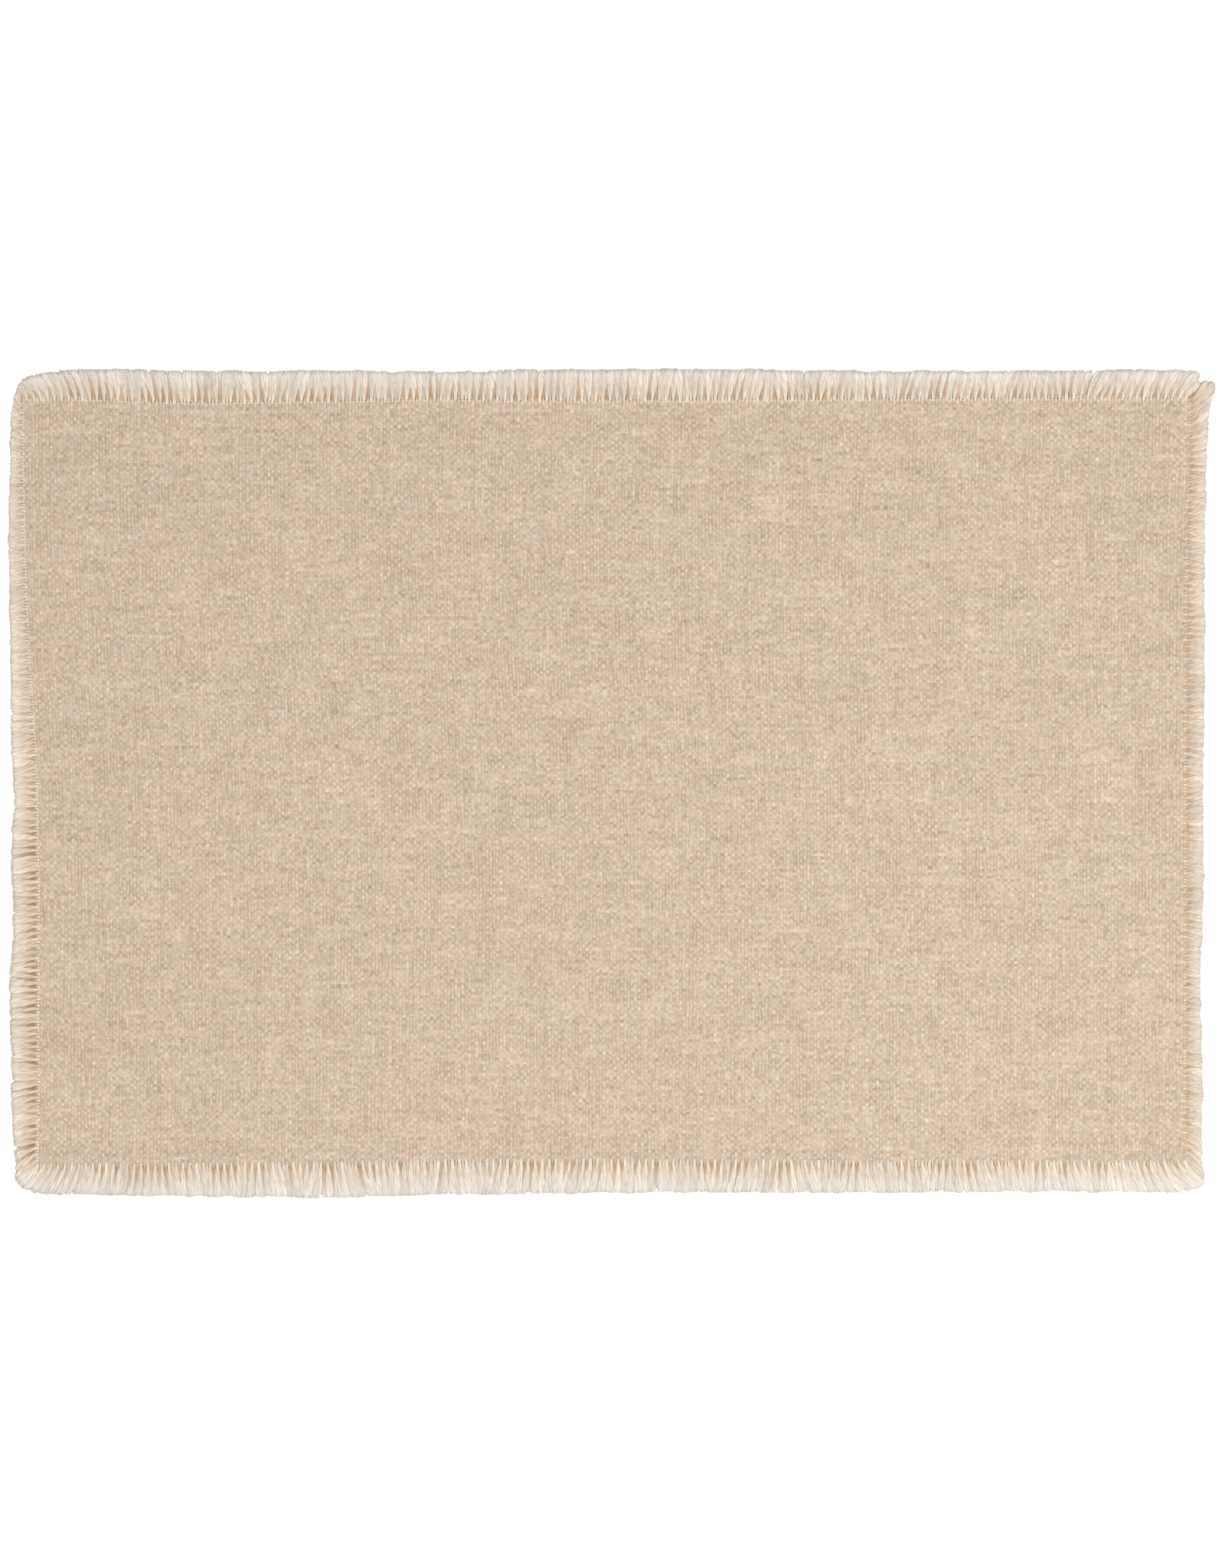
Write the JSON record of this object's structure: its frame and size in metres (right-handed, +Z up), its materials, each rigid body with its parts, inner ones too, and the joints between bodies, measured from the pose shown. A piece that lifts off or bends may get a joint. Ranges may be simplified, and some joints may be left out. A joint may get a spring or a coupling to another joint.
{
  "type": "fringed woven placemat",
  "caption": "Flat rectangular plain-woven table mat with its own yarns left loose as a short fringe along every edge.",
  "frame": {"origin": "under the middle of the whole mat, fringe included, on the plane it lies on", "axes": "+X along the long sides, +Y towards the back edge, +Z up from the table"},
  "size_m": [0.5028, 0.3458, 0.0016],
  "materials": {
    "woven_ground": "matt plain weave of cream and sand yarns, softly mottled",
    "long_side_yarn": "loose matt cream yarn",
    "short_side_yarn": "loose matt pale sand yarn"
  },
  "bodies": {
    "root": {"cloth": "woven_ground", "fringe_back": "long_side_yarn", "fringe_right": "short_side_yarn", "fringe_front": "long_side_yarn", "fringe_left": "short_side_yarn"}
  },
  "joints": []
}
